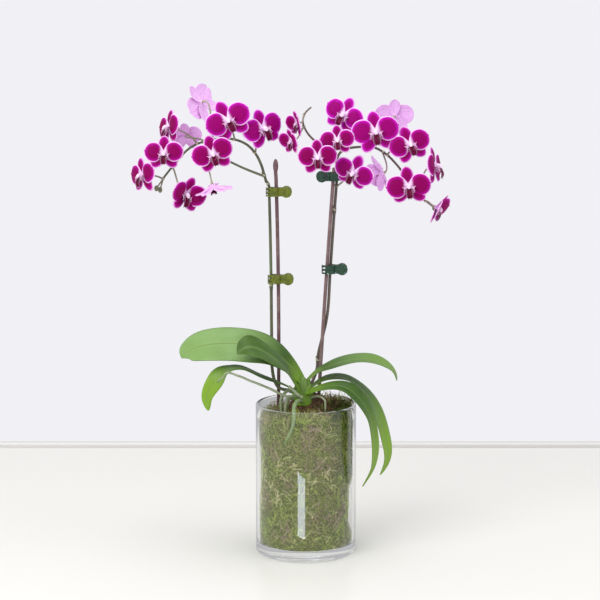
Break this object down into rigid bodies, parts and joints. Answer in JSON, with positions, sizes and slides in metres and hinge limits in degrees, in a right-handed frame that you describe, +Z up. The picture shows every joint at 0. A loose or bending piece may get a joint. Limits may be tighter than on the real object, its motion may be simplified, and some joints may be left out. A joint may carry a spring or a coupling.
{
  "type": "potted orchid",
  "caption": "Miniature moth orchid with arching flower spikes held to stakes by claw clips, planted in moss in a clear glass cylinder.",
  "frame": {"origin": "centre of the underside of the glass cylinder", "axes": "+Z up, +X to the right as seen from the front, +Y to the back"},
  "size_m": [0.3138, 0.1, 0.4611],
  "materials": {
    "glass": "gloss",
    "moss": "matte",
    "bark": "matte",
    "crown": "satin",
    "leaf": "satin",
    "root": "matte",
    "stem_left": "satin",
    "stem_right": "satin",
    "petal": "satin",
    "stake_left": "satin",
    "stake_right": "satin",
    "clip_olive": "gloss",
    "clip_green": "gloss",
    "steel": "satin"
  },
  "bodies": {
    "planted_vase": {"bloom_left_01": "petal", "bloom_left_02": "petal", "bloom_left_03": "petal", "bloom_left_04": "petal", "bloom_left_05": "petal", "bloom_left_06": "petal", "bloom_left_07": "petal", "bloom_left_08": "petal", "bloom_left_09": "petal", "bloom_left_10": "petal", "bloom_right_01": "petal", "bloom_right_02": "petal", "bloom_right_03": "petal", "bloom_right_04": "petal", "bloom_right_05": "petal", "bloom_right_06": "petal", "bloom_right_07": "petal", "bloom_right_08": "petal", "bloom_right_09": "petal", "bloom_right_10": "petal", "bloom_right_11": "petal", "bloom_right_12": "petal", "bloom_right_13": "petal", "clip_left_lower_fixed_jaw": "clip_olive", "clip_left_lower_pin": "steel", "clip_left_lower_spring": "steel", "clip_left_upper_fixed_jaw": "clip_olive", "clip_left_upper_pin": "steel", "clip_left_upper_spring": "steel", "clip_right_lower_fixed_jaw": "clip_green", "clip_right_lower_pin": "steel", "clip_right_lower_spring": "steel", "clip_right_upper_fixed_jaw": "clip_green", "clip_right_upper_pin": "steel", "clip_right_upper_spring": "steel", "crown": "crown", "glass_vase": "glass", "leaf_front_left": "leaf", "leaf_lower_left": "leaf", "leaf_right_back": "leaf", "leaf_right_front": "leaf", "leaf_upper_left": "leaf", "leaf_upper_right": "leaf", "moss": "moss", "root_ball": "bark", "root_front_glass": "root", "root_left_lower": "root", "root_left_upper": "root", "root_long_left": "root", "root_over_crown": "root", "root_thin_right": "root", "spike_left": "stem_left", "spike_right": "stem_right", "stake_left": "stake_left", "stake_right": "stake_right"},
    "clip_left_lower_jaw": {"clip_left_lower_moving_jaw": "clip_olive"},
    "clip_left_upper_jaw": {"clip_left_upper_moving_jaw": "clip_olive"},
    "clip_right_lower_jaw": {"clip_right_lower_moving_jaw": "clip_green"},
    "clip_right_upper_jaw": {"clip_right_upper_moving_jaw": "clip_green"}
  },
  "joints": [
    {"name": "clip_left_lower_hinge", "type": "hinge", "parent": "planted_vase", "child": "clip_left_lower_jaw", "pos_m": [-0.02298, 0.02356, 0.271], "axis": [0, 0, -1], "range_deg": [0, 25], "stiffness_Nm_per_rad": 0.002},
    {"name": "clip_left_upper_hinge", "type": "hinge", "parent": "planted_vase", "child": "clip_left_upper_jaw", "pos_m": [-0.02465, 0.02235, 0.3585], "axis": [0, 0, -1], "range_deg": [0, 25], "stiffness_Nm_per_rad": 0.002},
    {"name": "clip_right_lower_hinge", "type": "hinge", "parent": "planted_vase", "child": "clip_right_lower_jaw", "pos_m": [0.03089, 0.02418, 0.281], "axis": [0, 0, -1], "range_deg": [0, 25], "stiffness_Nm_per_rad": 0.002},
    {"name": "clip_right_upper_hinge", "type": "hinge", "parent": "planted_vase", "child": "clip_right_upper_jaw", "pos_m": [0.0208, 0.0252, 0.3734], "axis": [0, 0, -1], "range_deg": [0, 25], "stiffness_Nm_per_rad": 0.002}
  ]
}
